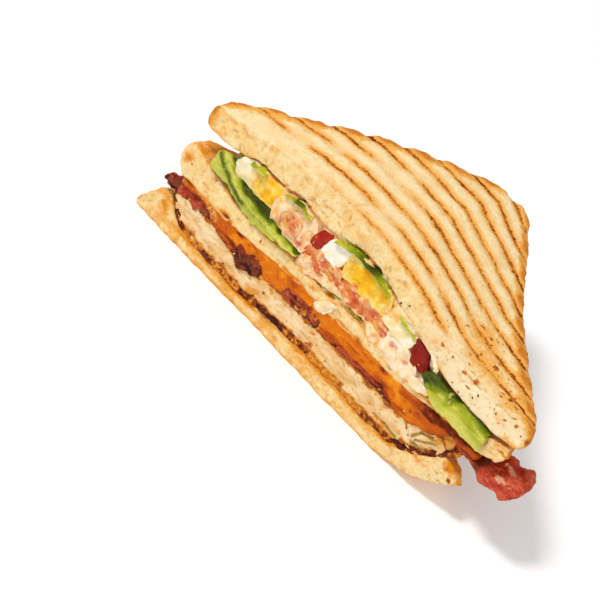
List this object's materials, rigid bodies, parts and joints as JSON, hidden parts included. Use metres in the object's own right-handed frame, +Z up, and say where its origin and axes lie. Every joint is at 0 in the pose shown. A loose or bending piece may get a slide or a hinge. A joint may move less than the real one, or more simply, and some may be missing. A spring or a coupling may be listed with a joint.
{
  "type": "crispy chicken sandwich",
  "caption": "Half of a grilled sandwich cut corner to corner: ridged toast over lettuce, egg, tomato and mayonnaise, then toast over melted cheese, bacon and breaded chicken.",
  "frame": {"origin": "the middle of the bounding box's underside, on the surface that the bottom toast lies on", "axes": "+X runs along the cut from the thin end to the end that curls up, +Y goes from the cut face towards the crusted corner, +Z is up through the layers"},
  "size_m": [0.1554, 0.0776, 0.0542],
  "materials": {
    "bread": "dry toasted crumb with a browned crust and dark grill marks",
    "sauce": "dark, moist and slightly shiny",
    "chicken": "pale moist meat with a crumbly breaded edge",
    "bacon": "fried dark red with paler marbling, slightly greasy",
    "cheese": "melted, soft sheen",
    "lettuce": "fresh crinkled leaf with a waxy sheen",
    "egg_white": "smooth and moist",
    "egg_yolk": "crumbly boiled yolk",
    "tomato": "wet flesh",
    "mayonnaise": "creamy and shiny"
  },
  "bodies": {
    "root": {"toast_top": "bread", "toast_middle": "bread", "toast_bottom": "bread", "sauce_dark": "sauce", "chicken_end": "chicken", "chicken_broken": "chicken", "chicken_long": "chicken", "chicken_tip": "chicken", "bacon_end": "bacon", "bacon_charred": "bacon", "bacon_middle": "bacon", "bacon_thin": "bacon", "bacon_tip": "bacon", "cheese": "cheese", "lettuce_left": "lettuce", "lettuce_right": "lettuce", "lettuce_sliver": "lettuce", "lettuce_back": "lettuce", "lettuce_upper_1": "lettuce", "lettuce_upper_2": "lettuce", "lettuce_upper_3": "lettuce", "lettuce_upper_4": "lettuce", "egg_white_left": "egg_white", "egg_white_right": "egg_white", "egg_yolk_left": "egg_yolk", "egg_yolk_right": "egg_yolk", "tomato_slice_left": "tomato", "tomato_slice_right": "tomato", "tomato_slice_corner": "tomato", "tomato_slice_back": "tomato", "tomato_red_left": "tomato", "tomato_red_right": "tomato", "tomato_dice_left": "tomato", "mayonnaise_left": "mayonnaise", "mayonnaise_under": "mayonnaise", "mayonnaise_right": "mayonnaise", "mayonnaise_strip": "mayonnaise"}
  },
  "joints": []
}
